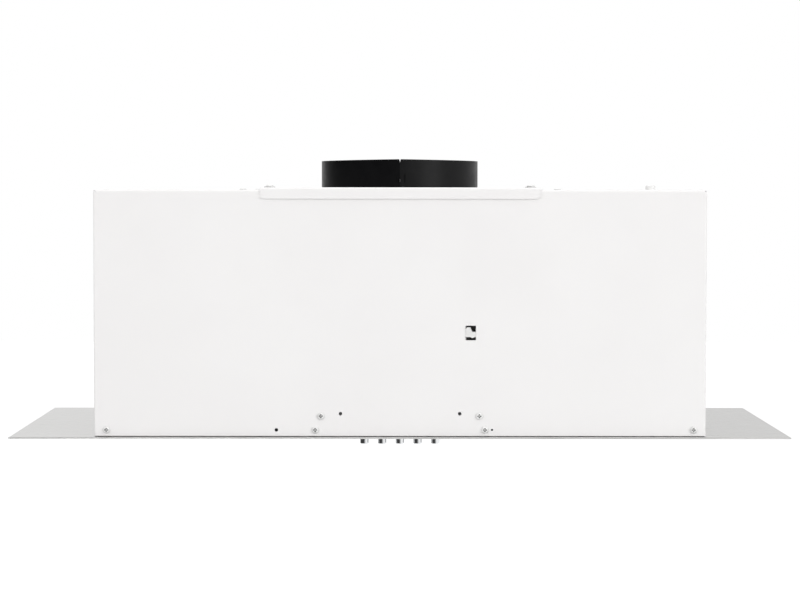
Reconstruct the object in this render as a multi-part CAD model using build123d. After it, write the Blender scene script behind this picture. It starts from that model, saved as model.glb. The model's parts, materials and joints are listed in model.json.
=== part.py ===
from build123d import *
import os
from math import atan2, cos, degrees, radians, sin, tan

os.makedirs("parts", exist_ok=True)

# Built-in range hood, canopy insert type. Millimetres, +Z up, +X to the right seen from the front.
# The front is at -Y. The origin is the centre of the cabinet cut-out, in the plane of the
# stainless flange's upper face, which bears on the underside of the cabinet.

# Stainless flange and tray
FLANGE_W = 700.0
FLANGE_D = 290.0
TRAY_SHEET = 0.8
FLANGE_LIP = 1.5
TRAY_EDGE_R = 0.7

# White sheet casing
CASE_W = 548.0
CASE_H = 220.6
CASE_FRONT_SETBACK = 6.0
CASE_BACK_SETBACK = 12.0
CASE_GAP = 0.6
CASE_SHEET = 0.8
CASE_BEND_R = 2.0
CASE_SIDE_BEND_R = 1.5
CASE_FLANGE = 16.0
CASE_NOTCH = 2.0
END_FLANGE = 18.0
END_BEND_R = 1.5
FIT_GAP = 0.2

# Black frame between casing and tray
FRAME_SHEET = 1.0
FRAME_H = 12.0
FRAME_LEG = 8.0

# Holes and screws of the casing
CASE_SCREW_EDGE = 11.0
CASE_SCREW_INNER_X = 76.0
CASE_SCREW_Z = 6.1
SCREW_R = 1.75
SCREW_HEAD_R = 3.1
SCREW_HEAD_H = 1.8
SCREW_HEAD_EDGE = 0.9
SCREW_TAIL = 6.0
RECESS_ARM = 3.4
RECESS_SLOT = 1.2
RECESS_DEPTH = 1.3
SCREW_HOLE_GAP = 0.15
SPARE_HOLE_R = 1.6
SPARE_LOW_X = -110.8
SPARE_SMALL_X = 82.4
SPARE_SMALL_R = 1.0
SPARE_HIGH_X = 53.4
SPARE_HIGH_Z = 20.6
SIDE_FIX_R = 2.25
SIDE_FIX_PITCH = 160.0
SIDE_FIX_Z = 7.0

# Motor plate on the roof
PLATE_W = 250.0
PLATE_T = 1.0
PLATE_LIP = 10.2
PLATE_BEND_R = 1.8
PLATE_CORNER_R = 3.5
PLATE_FACE_GAP = 0.3
GASKET_T = 1.7
GASKET_INSET = 2.0
PLATE_SCREW_EDGE = 7.5
PLATE_SCREW_INSET = 20.0
LIP_SCREW_EDGE = 15.0
LIP_SCREW_DROP = 6.2
PLATE_SCREW_HEAD_R = 5.0
PLATE_SCREW_HEAD_H = 2.4
PLATE_SCREW_CAP_R = 3.5
PLATE_SCREW_CAP_EDGE = 1.0
PLATE_SCREW_RIM_H = 0.8
PLATE_SCREW_R = 2.4
PLATE_SCREW_TAIL = 5.0

# Duct collar
COLLAR_SETBACK = 115.0
COLLAR_R = 74.6
COLLAR_WALL = 2.0
COLLAR_H = 25.2
COLLAR_RISE = 1.1
COLLAR_CLAMP = 7.4
COLLAR_NECK = 0.8
COLLAR_NECK_RISE = 0.4
COLLAR_SEAM = 0.3
COLLAR_NOTCH_W = 1.5
COLLAR_NOTCH_H = 2.2
COLLAR_HOLE_GAP = 0.3
ROOF_OPENING_GAP = 7.0
LEDGE_W = 5.2
LEDGE_T = 2.0
LEDGE_RISE = 1.6
GROOVE_DEPTH = 0.9
GROOVE_DROP = 2.1

# Grooves beside the front seam: start and end in X, and rise above the damper rod's axis
LEFT_GROOVE = (-3.6, -1.0, 1.8)
RIGHT_GROOVE = (4.0, 5.0, 6.3)

# Damper flaps and their rod
ROD_R = 1.5
ROD_RISE = 6.6
ROD_END_SKIN = 1.1
ROD_END_GAP = 0.1
ROD_RUN_GAP = 0.08
ROD_SEAT_GAP = 0.03
ROD_BOSS_W = 14.0
ROD_BOSS_T = 4.0
KNUCKLES = 5
KNUCKLE_R = 3.0
KNUCKLE_GAP = 0.5
FLAP_T = 1.6
FLAP_EDGE_GAP = 1.0
FLAP_REST_GAP = 0.3
FLAP_ROD_GAP = 0.6
FLAP_RIB_H = 2.2
FLAP_RIB_T = 1.6
FLAP_RIB_START = 9.0
FLAP_RIB_ANGLE = 50.0

# Blower: volute, wheel and motor, on an axis along X
VOLUTE_FRONT_GAP = 9.2
VOLUTE_FLOOR = 17.0
VOLUTE_HEADROOM = 6.9
VOLUTE_ARCS = 4
VOLUTE_STEP = 12.0
VOLUTE_SHEET = 0.8
VOLUTE_SEAM = 3.0
THROAT_BACK = 41.0
THROAT_LEAN = 17.0
TONGUE_R = 5.0
TONGUE_ANGLE = 55.0
CHEEK_X = 52.0
CHEEK_SHEET = 0.8
DECK_T = 1.2
DECK_W = 300.0
DECK_EDGE = 6.0
RIVET_R = 1.6
RIVET_HEAD_R = 3.2
RIVET_HEAD_H = 0.9
RIVET_HEAD_EDGE = 0.6
RIVET_TAIL_R = 2.6
RIVET_EDGE = 9.0
RIVET_SETBACK = 12.0
MOUTH_LAP = 2.8
MOUTH_BEND = 7.0
WHEEL_TONGUE_GAP = 1.4
WHEEL_GAP = 4.0
WHEEL_DISC = 1.0
WHEEL_RING_T = 1.6
WHEEL_RING_W = 10.8
BLADES = 36
BLADE_T = 0.9
BLADE_BEND = 9.0
BLADE_INSET = 6.1
BLADE_SWEEP = 70.0
HUB_R = 11.0
HUB_L = 14.0
SHAFT_R = 4.0
SHAFT_GAP = 0.05
NUT_R = 7.0
NUT_H = 4.0
MOTOR_GAP = 7.0
MOTOR_NOSE = 9.0
MOTOR_EDGE = 6.0
MOTOR_BOSS_H = 4.0
MOTOR_BOSS_W = 3.0
BUSH_H = 4.2
BUSH_R = 6.5
SPIDER_T = 2.0
SPIDER_ARM_W = 14.0
SPIDER_BOLT_GAP = 15.0
SPIDER_HUB_R = 24.0
SPIDER_ARMS = 3
BOLT_R = 2.0
BOLT_HEAD_R = 3.8
BOLT_HEAD_H = 2.2
BOLT_TAIL = 2.0
GUARD_T = 1.6
GUARD_BAR = 2.4
GUARD_H = 4.2
GUARD_RINGS = 3
GUARD_BARS = 6

# Push buttons and their switch
BUTTON_PITCH = 16.0
BUTTON_SETBACK = 18.0
BUTTON_R = 4.0
BUTTON_TIP = -8.2
BUTTON_HOLE_GAP = 0.5
BUTTON_SHOULDER = 4.0
BUTTON_STEM_R = 2.5
BUTTON_TRAVEL = 3.5
BUTTON_EDGE = 0.6
BUTTON_FOOT_R = 3.6
BUTTON_FOOT_T = 1.5
SWITCH_END = 14.0
SWITCH_D = 20.0
SWITCH_H = 24.8
SWITCH_CLEAR = 0.7
SWITCH_FLOOR = 6.5
SWITCH_RUN_GAP = 0.3
SWITCH_WELL_GAP = 0.6
SWITCH_CORNER = 1.5
BRACKET_BOTTOM = 13.0
BRACKET_SCREW_X = 71.0
BRACKET_SCREW_Z = 18.5
BRACKET_SCREW_EDGE = 13.0
BRACKET_MARGIN = 4.0

# Lamps
LAMP_INSET = 84.0
LAMP_SETBACK = 38.0
LAMP_BEZEL_R = 26.0
LAMP_BEZEL_T = 1.2
LAMP_BEZEL_EDGE = 0.8
LAMP_BODY_R = 23.0
LAMP_BODY_TOP = 14.0
LAMP_WALL = 2.0
LAMP_HOLE_GAP = 0.4
LAMP_LENS_R = 20.0
LAMP_LENS_T = 1.6
LAMP_LENS_EDGE = 0.5
LAMP_CLIP_W = 12.0
LAMP_CLIP_T = 0.6
LAMP_CLIP_SPAN = 9.0
LAMP_CLIP_KNEE = 3.6

# Grease filters
FILTER_SIDE_INSET = 15.0
FILTER_BACK_INSET = 20.0
FILTER_FRONT_INSET = 71.0
FILTER_GAP = 1.5
FILTER_BAR = 8.0
FILTER_H = 9.0
FILTER_WALL = 1.0
FILTER_SKIN = 0.8
FILTER_BORDER = 12.0
FILTER_FILL_GAP = 0.2
NET_T = 0.8
NET_COLUMNS = 11
NET_ROWS = 8
NET_STRAND = 2.6
NET_STRAND_ACROSS = 1.8
NET_EDGE = 1.0
LUG_INSET = 42.0
LUG_W = 7.0
LUG_T = 1.2
LUG_BAR_R = 1.5
LUG_BAR_L = 17.0
LUG_REACH = 4.0
LUG_SLOT_GAP = 1.0
LUG_SEAT_GAP = 0.1
POCKET_W = 66.0
POCKET_D = 27.0
LATCH_W = 46.0
LATCH_D = 14.0
LATCH_TRAVEL = 6.0
LATCH_GAP = 0.4
GRIP_W = 30.0
GRIP_D = 11.0
GRIP_SETBACK = 1.5
GRIP_WALL = 1.5
TONGUE_W = 12.0
TONGUE_T = 1.6
TONGUE_NOSE = 0.8
TONGUE_REACH = 5.5
SPRING_T = 0.5
SPRING_BAND = 4.0
SPRING_SPAN = 38.0
CATCH_W = 14.0
CATCH_L = 26.0
CATCH_T = 0.5
CATCH_BITE = 2.1
CATCH_NOTCH_D = 8.0

# Control box behind the front wall, and the window that shows its snap hook
WINDOW_Z = 93.1
WINDOW_W = 9.4
WINDOW_H = 13.2
WINDOW_R = 0.8
HOOK_LOW = 2.9
HOOK_SHELF = 7.6
HOOK_TOP = 11.6
HOOK_NOSE = 4.4
HOOK_STEP = 6.1
HOOK_BUMP = 1.0
HOOK_CORNER = 1.5
HOOK_GAP = 0.2
CONTROL_GAP = 0.4
CONTROL_EDGE = 1.0
CONTROL_W = 80.0
CONTROL_D = 27.0
CONTROL_H = 56.0
CONTROL_DROP = 23.0
CONTROL_WALL = 2.0
CONTROL_LID_T = 2.0
CONTROL_R = 2.5
SEAT_GAP = 0.05

# Cable gland, capacitor and its strap
GLAND_INSET = 29.0
GLAND_SETBACK = 73.0
GLAND_R = 4.8
GLAND_EDGE = 0.8
GLAND_BORE_R = 3.2
GLAND_ENTRY_R = 3.4
GLAND_ENTRY_RISE = 0.3
GLAND_H = 5.1
GLAND_FLANGE_R = 7.0
GLAND_FLANGE_T = 3.0
GLAND_NECK = 0.8
CAPACITOR_R = 16.0
CAPACITOR_L = 56.0
CAPACITOR_INSET = 46.0
CAPACITOR_SETBACK = 61.0
CAPACITOR_EDGE = 1.5
STRAP_T = 1.0
STRAP_W = 12.0
STRAP_FOOT = 12.0

# How far a cutter runs past the face that it opens
OVERRUN = 1.0

# Planes and faces that several pieces share
case_front = -FLANGE_D / 2 + CASE_FRONT_SETBACK
case_back = FLANGE_D / 2 - CASE_BACK_SETBACK
case_top = CASE_GAP + CASE_H
case_mid_y = (case_front + case_back) / 2
case_inside = case_front + CASE_SHEET
roof_top = case_top - CASE_SHEET
roof_under = roof_top - CASE_SHEET
tray_under = -TRAY_SHEET
plate_under = roof_top + GASKET_T
lip_back = case_back + PLATE_FACE_GAP + PLATE_T
plate_top = plate_under + PLATE_T
deck_under = roof_under - DECK_T
collar_y = case_back - COLLAR_SETBACK
rod_z = plate_top + ROD_RISE
ledge_z = plate_top + LEDGE_RISE
collar_peak = plate_top + COLLAR_H + COLLAR_RISE
collar_in = COLLAR_R - COLLAR_WALL
collar_neck_r = COLLAR_R - COLLAR_NECK
collar_neck_top = plate_top + COLLAR_NECK_RISE
collar_clamp_r = COLLAR_R + COLLAR_CLAMP
roof_opening = collar_clamp_r + ROOF_OPENING_GAP
frame_front = case_inside + CASE_SHEET + FIT_GAP
frame_back = case_back - 2 * CASE_SHEET - FIT_GAP
end_face = CASE_W / 2 - CASE_SHEET
frame_x = end_face - CASE_SHEET - FIT_GAP
throat_back = collar_y + THROAT_BACK
depth_r = (throat_back - case_inside - VOLUTE_FRONT_GAP + VOLUTE_STEP) / 2
height_r = (deck_under - VOLUTE_HEADROOM - VOLUTE_FLOOR + VOLUTE_STEP / 2) / 2
volute_r = min(depth_r, height_r)
fan_y = throat_back - volute_r - VOLUTE_STEP / 2
fan_z = deck_under - VOLUTE_HEADROOM - volute_r
wheel_r = volute_r - (VOLUTE_ARCS - 1) * VOLUTE_STEP - WHEEL_TONGUE_GAP
ring_in = wheel_r - WHEEL_RING_W
blade_mid_r = wheel_r - BLADE_INSET
mouth_r = ring_in - MOUTH_LAP
motor_r = mouth_r - MOTOR_GAP
spider_bolt_r = mouth_r + SPIDER_BOLT_GAP
guard_rim = mouth_r + MOUTH_BEND + GUARD_BAR / 2
cheek_face = CHEEK_X + CHEEK_SHEET
wheel_half = CHEEK_X - WHEEL_GAP
shaft_end = HUB_L + NUT_H
motor_back = -CHEEK_X
spider_face = -cheek_face - BUSH_H
button_y = case_front + BUTTON_SETBACK
switch_bottom = BUTTON_SHOULDER + BUTTON_TRAVEL + SWITCH_CLEAR
switch_top = switch_bottom + SWITCH_H
lamp_x = CASE_W / 2 - LAMP_INSET
lamp_y = case_front + LAMP_SETBACK
filter_bottom = tray_under
filter_top = filter_bottom + FILTER_H
opening_back = case_back - FILTER_BACK_INSET
opening_front = case_front + FILTER_FRONT_INSET
opening_x0 = FILTER_BAR / 2
opening_x1 = CASE_W / 2 - FILTER_SIDE_INSET
filter_back = opening_back - FILTER_GAP
filter_front = opening_front + FILTER_GAP
filter_x0 = opening_x0 + FILTER_GAP
filter_x1 = opening_x1 - FILTER_GAP
filter_mid_x = (filter_x0 + filter_x1) / 2
latch_front = filter_front + FILTER_WALL + LATCH_GAP
lug_y = opening_back + LUG_REACH
lug_z = LUG_BAR_R + LUG_SEAT_GAP
tongue_z = 2 * CATCH_T + LATCH_GAP
control_x0 = cheek_face + GUARD_H + CONTROL_GAP
control_y0 = case_inside + SEAT_GAP
control_z0 = WINDOW_Z - CONTROL_DROP
window_x = control_x0 + CONTROL_EDGE + WINDOW_W / 2
gland_x = CASE_W / 2 - GLAND_INSET
gland_y = case_back - GLAND_SETBACK
capacitor_x = CAPACITOR_INSET - DECK_W / 2
capacitor_y = case_front + CAPACITOR_SETBACK
FAN_AXIS = Axis((0, fan_y, fan_z), (1, 0, 0))
FAN_SECTION = Plane(origin=(0, fan_y, fan_z), x_dir=(1, 0, 0), z_dir=(0, -1, 0))
SIDE_VIEW = Plane(origin=(0, 0, 0), x_dir=(0, 1, 0), z_dir=(1, 0, 0))
BUTTON_NAMES = ("off", "low", "medium", "high", "light")


def block(x0, x1, y0, y1, z0, z1):
    """Box between two corners."""
    return Pos((x0 + x1) / 2, (y0 + y1) / 2, (z0 + z1) / 2) * Box(x1 - x0, y1 - y0, z1 - z0)


def rod_along_z(x, y, z0, z1, radius):
    """Upright cylinder."""
    return Pos(x, y, (z0 + z1) / 2) * Cylinder(radius, z1 - z0)


def rod_along_y(x, z, y0, y1, radius):
    """Cylinder that runs front to back."""
    return Pos(x, (y0 + y1) / 2, z) * Rot(90, 0, 0) * Cylinder(radius, y1 - y0)


def rod_along_x(y, z, x0, x1, radius):
    """Cylinder that runs left to right."""
    return Pos((x0 + x1) / 2, y, z) * Rot(0, 90, 0) * Cylinder(radius, x1 - x0)


def fan_rod(x0, x1, radius):
    """Cylinder on the fan axis."""
    return rod_along_x(fan_y, fan_z, x0, x1, radius)


def fan_ring(x0, x1, r_in, r_out):
    """Ring round the fan axis."""
    return fan_rod(x0, x1, r_out) - fan_rod(x0 - OVERRUN, x1 + OVERRUN, r_in)


def collar_rod(z0, z1, radius):
    """Upright cylinder on the collar's axis."""
    return rod_along_z(0, collar_y, z0, z1, radius)


def mirrored(shape):
    """The same piece on the other side of the middle."""
    return mirror(shape, about=Plane.YZ)


def group(pieces):
    """Several separate solids kept as one node."""
    return Compound(children=[solid for piece in pieces for solid in piece.solids()])


def write(name, shape):
    export_step(shape, f"parts/{name}.step")


def channel(y0, y1, z0, z1, sheet, bend, width):
    """Sheet bent over two edges into a channel that is open below."""
    outer = Pos((y0 + y1) / 2, (z0 + z1) / 2) * Rectangle(y1 - y0, z1 - z0)
    outer = fillet(outer.vertices().sort_by(Axis.Y)[-2:], bend)
    inner = Pos((y0 + y1) / 2, (z0 + z1 - sheet) / 2) * Rectangle(y1 - y0 - 2 * sheet, z1 - z0 - sheet)
    inner = fillet(inner.vertices().sort_by(Axis.Y)[-2:], bend - sheet)
    return extrude(SIDE_VIEW * (outer - inner), amount=width / 2, both=True)


def case_screw_xs():
    """Screw positions along the bottom edge of the front and back walls."""
    xs = (CASE_SCREW_INNER_X, CASE_W / 2 - CASE_SCREW_EDGE)
    return [side * x for side in (-1, 1) for x in xs]


def side_fix_ys():
    """Positions of the holes through which the hood is screwed to the sides of the cut-out."""
    return [case_mid_y + side * SIDE_FIX_PITCH / 2 for side in (-1, 1)]


def plate_screw_points():
    """Positions of the motor plate's two screws in the roof."""
    x, y = PLATE_W / 2 - PLATE_SCREW_EDGE, case_front + PLATE_SCREW_INSET
    return [(-x, y), (x, y)]


def lip_screw_points():
    """Positions, in X and Z, of the two screws through the motor plate's back lip."""
    x, z = PLATE_W / 2 - LIP_SCREW_EDGE, plate_top - LIP_SCREW_DROP
    return [(-x, z), (x, z)]


def lip_screw_holes(sheet):
    """Holes that the back wall and the motor plate's back lip have in line."""
    through = (case_back - CASE_SHEET - OVERRUN, lip_back + OVERRUN)
    for x, z in lip_screw_points():
        sheet -= rod_along_y(x, z, *through, SCREW_R + SCREW_HOLE_GAP)
    return sheet


def rivet_points():
    """Rivets that hold the blower deck up to the roof."""
    x = DECK_W / 2 - RIVET_EDGE
    ys = (case_front + RIVET_SETBACK, case_back - RIVET_SETBACK)
    return [(side * x, y) for side in (-1, 1) for y in ys]


def button_xs():
    middle = (len(BUTTON_NAMES) - 1) / 2
    return [(i - middle) * BUTTON_PITCH for i in range(len(BUTTON_NAMES))]


def plate_stack_holes(sheet):
    """Screw holes that the motor plate, gasket, roof and deck have in line."""
    radius = PLATE_SCREW_R + SCREW_HOLE_GAP
    for x, y in plate_screw_points():
        sheet -= rod_along_z(x, y, deck_under - OVERRUN, plate_top + OVERRUN, radius)
    return sheet


def rivet_holes(sheet):
    """Rivet holes that the wall flanges, roof and deck have in line."""
    for x, y in rivet_points():
        sheet -= rod_along_z(x, y, deck_under - OVERRUN, case_top + OVERRUN, RIVET_R)
    return sheet


def collar_opening(sheet):
    """Square opening round the collar's clamped flange, in the roof and in the gasket."""
    reach = roof_opening
    return sheet - block(-reach, reach, collar_y - reach, collar_y + reach, roof_under - OVERRUN, plate_top)


# Casing

def case_core(inset):
    """Filled casing, smaller by an inset at its top and all round, with its bends."""
    depth, height = case_back - case_front - 2 * inset, case_top - inset
    side = Pos(case_mid_y, height / 2) * Rectangle(depth, height)
    side = fillet(side.vertices().sort_by(Axis.Y)[-2:], CASE_BEND_R - inset)
    plan = RectangleRounded(CASE_W - 2 * inset, depth, CASE_SIDE_BEND_R - inset)
    core = extrude(SIDE_VIEW * side, amount=CASE_W / 2, both=True)
    return core & Pos(0, case_mid_y, 0) * extrude(plan, case_top)


def bent_wall(y0, y1):
    """Front or back wall. Its top flange lies on the roof, and its side flanges lie over the end walls."""
    wall = case_core(0) - case_core(CASE_SHEET)
    wall &= block(-CASE_W, CASE_W, y0, y1, CASE_GAP, case_top + OVERRUN)
    for side in (-1, 1):
        x0, x1 = sorted((side * (CASE_W / 2 - CASE_NOTCH), side * CASE_W))
        wall -= block(x0, x1, y0 - OVERRUN, y1 + OVERRUN, case_top - CASE_NOTCH, case_top + OVERRUN)
    for x in case_screw_xs():
        wall -= rod_along_y(x, CASE_SCREW_Z, y0 - OVERRUN, y1 + OVERRUN, SCREW_R + SCREW_HOLE_GAP)
    return rivet_holes(wall)


def front_wall():
    """Front wall with the holes of the switch bracket, the spare holes and the window."""
    wall = bent_wall(case_front, case_front + CASE_FLANGE)
    through = (case_front - OVERRUN, case_inside + OVERRUN)
    for side in (-1, 1):
        wall -= rod_along_y(side * BRACKET_SCREW_X, BRACKET_SCREW_Z, *through, SCREW_R + SCREW_HOLE_GAP)
        wall -= rod_along_y(side * SPARE_HIGH_X, SPARE_HIGH_Z, *through, SPARE_HOLE_R)
    wall -= rod_along_y(SPARE_LOW_X, CASE_SCREW_Z, *through, SPARE_HOLE_R)
    wall -= rod_along_y(SPARE_SMALL_X, CASE_SCREW_Z, *through, SPARE_SMALL_R)
    window = Pos(window_x, WINDOW_Z) * RectangleRounded(WINDOW_W, WINDOW_H, WINDOW_R)
    return wall - Pos(0, through[1], 0) * extrude(Plane.XZ * window, amount=through[1] - through[0])


def back_wall():
    return lip_screw_holes(bent_wall(case_back - CASE_FLANGE, case_back))


def roof_panel():
    """Flat roof under the flanges of both walls."""
    inset = CASE_BEND_R + FIT_GAP
    panel = block(-CASE_W / 2, CASE_W / 2, case_front + inset, case_back - inset, roof_under, roof_top)
    panel -= gland_rod(roof_under - OVERRUN, roof_top + OVERRUN, GLAND_R - GLAND_NECK)
    return rivet_holes(collar_opening(plate_stack_holes(panel)))


def end_panel():
    """Right end wall, a shallow pan inside the flanges of the front and back walls."""
    x_out, x_in = end_face, end_face - END_FLANGE
    y0, y1 = case_inside, case_back - CASE_SHEET
    pan = pan_solid(x_in, x_out, y0, y1, CASE_GAP, roof_under, CASE_BEND_R, END_BEND_R)
    core = pan_solid(x_in - OVERRUN, x_out - CASE_SHEET, y0 + CASE_SHEET, y1 - CASE_SHEET,
                     CASE_GAP - OVERRUN, roof_under - CASE_SHEET,
                     CASE_BEND_R - CASE_SHEET, END_BEND_R - CASE_SHEET)
    pan -= core
    screw_x = CASE_W / 2 - CASE_SCREW_EDGE
    pan -= rod_along_y(screw_x, CASE_SCREW_Z, y0 - OVERRUN, y1 + OVERRUN, SCREW_R + SCREW_HOLE_GAP)
    for y in side_fix_ys():
        pan -= rod_along_x(y, SIDE_FIX_Z, x_out - 2 * CASE_SHEET, x_out + OVERRUN, SIDE_FIX_R)
    return pan


def pan_solid(x0, x1, y0, y1, z0, z1, corner, bend):
    """Filled pan with round top corners and a round bend at its outer face."""
    solid = block(x0, x1, y0, y1, z0, z1)
    solid = fillet(solid.edges().filter_by(Axis.X).sort_by(Axis.Z)[-2:], corner)
    rim = solid.faces().sort_by(Axis.X)[-1].edges()
    return fillet(rim.sort_by(Axis.Z)[1:], bend)


def mounting_frame():
    """Black angle ring that joins the casing to the tray."""
    wall, leg = FRAME_SHEET, FRAME_LEG
    footprint = Rectangle(2 * frame_x, frame_back - frame_front)
    upstand = extrude(footprint - offset(footprint, -wall, kind=Kind.INTERSECTION), FRAME_H)
    foot = extrude(footprint - offset(footprint, -leg, kind=Kind.INTERSECTION), wall)
    ring = Pos(0, (frame_front + frame_back) / 2, 0) * (upstand + foot)
    for x in case_screw_xs():
        ring -= rod_along_y(x, CASE_SCREW_Z, frame_front - OVERRUN, frame_back + OVERRUN,
                            SCREW_R + SCREW_HOLE_GAP)
    front = (frame_front - OVERRUN, frame_front + wall + OVERRUN)
    ring -= rod_along_y(SPARE_LOW_X, CASE_SCREW_Z, *front, SPARE_HOLE_R)
    for y in side_fix_ys():
        ring -= rod_along_x(y, SIDE_FIX_Z, -frame_x - OVERRUN, frame_x + OVERRUN, SIDE_FIX_R)
    return ring


def underside_tray():
    """Stainless tray: the flange all round, the filter openings, and the lamp and button holes."""
    sheet = Box(FLANGE_W, FLANGE_D, FLANGE_LIP, align=(Align.CENTER, Align.CENTER, Align.MAX))
    tray = fillet(sheet.faces().sort_by(Axis.Z)[-1].edges(), TRAY_EDGE_R)
    hollow = Box(FLANGE_W - 2 * TRAY_SHEET, FLANGE_D - 2 * TRAY_SHEET, FLANGE_LIP,
                 align=(Align.CENTER, Align.CENTER, Align.MAX))
    tray -= Pos(0, 0, tray_under) * hollow
    low, high = -FLANGE_LIP, OVERRUN
    for side in (-1, 1):
        x0, x1 = sorted((side * opening_x0, side * opening_x1))
        tray -= block(x0, x1, opening_front, opening_back, low, high)
        half = LUG_W / 2 + LUG_SLOT_GAP
        slot_end = lug_y + LUG_BAR_R + LUG_SLOT_GAP
        for x in lug_xs():
            tray -= block(side * x - half, side * x + half, opening_back - OVERRUN, slot_end, low, high)
        half = TONGUE_W / 2 + LUG_SLOT_GAP
        x = side * filter_mid_x
        notch_end = opening_front - CATCH_NOTCH_D
        tray -= block(x - half, x + half, notch_end, opening_front + OVERRUN, low, high)
        tray -= rod_along_z(side * lamp_x, lamp_y, low, high, LAMP_BODY_R + LAMP_HOLE_GAP)
    for x in button_xs():
        tray -= rod_along_z(x, button_y, low, high, BUTTON_R + BUTTON_HOLE_GAP)
    return tray


def pan_head_screw(x, z):
    """Screw in the front wall, with a bevelled head and a cross recess."""
    y = case_front - SCREW_HEAD_H
    head = rod_along_y(x, z, y, case_front, SCREW_HEAD_R)
    head = chamfer(head.edges().sort_by(Axis.Y)[0], SCREW_HEAD_EDGE)
    for w, h in ((RECESS_ARM, RECESS_SLOT), (RECESS_SLOT, RECESS_ARM)):
        head -= block(x - w / 2, x + w / 2, y - OVERRUN, y + RECESS_DEPTH, z - h / 2, z + h / 2)
    return head + rod_along_y(x, z, case_front, case_front + SCREW_TAIL, SCREW_R)


def casing_screws():
    """Pan-head screws of the casing's bottom edge, the switch bracket and the motor plate's back lip."""
    bottom = [pan_head_screw(x, CASE_SCREW_Z) for x in case_screw_xs()]
    turn = Plane(origin=(0, case_mid_y, 0), z_dir=(0, 1, 0))
    rear = [mirror(screw, about=turn) for screw in bottom]
    bracket = [pan_head_screw(side * BRACKET_SCREW_X, BRACKET_SCREW_Z) for side in (-1, 1)]
    outward = Pos(0, lip_back - case_back, 0)
    lip = [outward * mirror(pan_head_screw(x, z), about=turn) for x, z in lip_screw_points()]
    return group(bottom + rear + bracket + lip)


# Roof plate and duct collar

def motor_plate():
    """Plate that closes the roof opening, with a lip over the front and back edges of the roof."""
    y0 = case_front - PLATE_FACE_GAP - PLATE_T
    z0 = plate_top - PLATE_LIP
    plate = channel(y0, lip_back, z0, plate_top, PLATE_T, PLATE_BEND_R, PLATE_W)
    corners = plate.edges().filter_by(Axis.Y).filter_by_position(Axis.Z, z0 - 0.01, z0 + 0.01)
    plate = fillet(corners, PLATE_CORNER_R)
    plate -= collar_rod(plate_under - OVERRUN, plate_top + OVERRUN, COLLAR_R + COLLAR_HOLE_GAP)
    return lip_screw_holes(plate_stack_holes(plate))


def plate_gasket():
    """Foam gasket between the roof and the motor plate."""
    half = PLATE_W / 2 - GASKET_INSET
    inset = CASE_FLANGE + FIT_GAP
    pad = block(-half, half, case_front + inset, case_back - inset, roof_top, plate_under)
    return plate_stack_holes(collar_opening(pad))


def plate_screws():
    """Two flange-head screws through plate, gasket, roof and blower deck."""
    screws = []
    for x, y in plate_screw_points():
        screw = rod_along_z(x, y, deck_under - PLATE_SCREW_TAIL, plate_top, PLATE_SCREW_R)
        head = rod_along_z(x, y, plate_top, plate_top + PLATE_SCREW_HEAD_H, PLATE_SCREW_CAP_R)
        head = chamfer(head.edges().sort_by(Axis.Z)[-1], PLATE_SCREW_CAP_EDGE)
        rim = rod_along_z(x, y, plate_top, plate_top + PLATE_SCREW_RIM_H, PLATE_SCREW_HEAD_R)
        screws.append(screw + head + rim)
    return group(screws)


def deck_rivets():
    """Four domed rivets through the wall flanges, the roof and the blower deck."""
    rivets = []
    for x, y in rivet_points():
        head = rod_along_z(x, y, case_top, case_top + RIVET_HEAD_H, RIVET_HEAD_R)
        head = chamfer(head.edges().sort_by(Axis.Z)[-1], RIVET_HEAD_EDGE)
        tail_z = deck_under - RIVET_HEAD_H
        tail = rod_along_z(x, y, tail_z, deck_under, RIVET_TAIL_R)
        rivets.append(head + tail + rod_along_z(x, y, tail_z, case_top, RIVET_R))
    return group(rivets)


def collar_ring():
    """Whole collar before it is split: wall, neck, clamped flange, flap ledge and rod bosses."""
    above = collar_peak + OVERRUN
    ring = collar_rod(collar_neck_top, above, COLLAR_R)
    ring += collar_rod(roof_under, collar_neck_top, collar_neck_r)
    ring += collar_rod(roof_under, plate_under, collar_clamp_r)
    ring -= collar_rod(roof_under - OVERRUN, above + OVERRUN, collar_in)
    mid_wall = COLLAR_R - COLLAR_WALL / 2
    ledge = collar_rod(ledge_z, ledge_z + LEDGE_T, mid_wall)
    ring += ledge - collar_rod(ledge_z - OVERRUN, above, collar_in - LEDGE_W)
    boss_top = rod_z + ROD_R + ROD_BOSS_T / 2
    boss = block(-ROD_BOSS_W / 2, ROD_BOSS_W / 2, collar_y - COLLAR_R, collar_y + COLLAR_R, ledge_z, boss_top)
    boss &= collar_rod(ledge_z, boss_top, mid_wall)
    reach = collar_in - ROD_BOSS_T
    boss -= block(-ROD_BOSS_W, ROD_BOSS_W, collar_y - reach, collar_y + reach, ledge_z - OVERRUN, above)
    ring += boss
    reach = COLLAR_R - ROD_END_SKIN
    return ring - rod_along_y(0, rod_z, collar_y - reach, collar_y + reach, ROD_R + ROD_SEAT_GAP)


def collar_half(ring):
    """Right half of the collar. Its rim falls slightly from the seam to the side."""
    size = collar_clamp_r + OVERRUN
    half = ring & block(COLLAR_SEAM / 2, size, collar_y - size, collar_y + size,
                        roof_under - OVERRUN, collar_peak + OVERRUN)
    slope = degrees(atan2(COLLAR_RISE, COLLAR_R))
    above = Box(3 * size, 3 * size, COLLAR_H, align=(Align.CENTER, Align.CENTER, Align.MIN))
    half -= Pos(0, collar_y, collar_peak) * Rot(0, slope, 0) * above
    notch = Polyline((0, collar_peak - COLLAR_NOTCH_H), (COLLAR_NOTCH_W / 2, collar_peak),
                     (COLLAR_NOTCH_W / 2, collar_peak + OVERRUN), (0, collar_peak + OVERRUN), close=True)
    cut = extrude(Plane.XZ * make_face(notch), amount=size, both=True)
    return half - Pos(0, collar_y, 0) * cut


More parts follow.
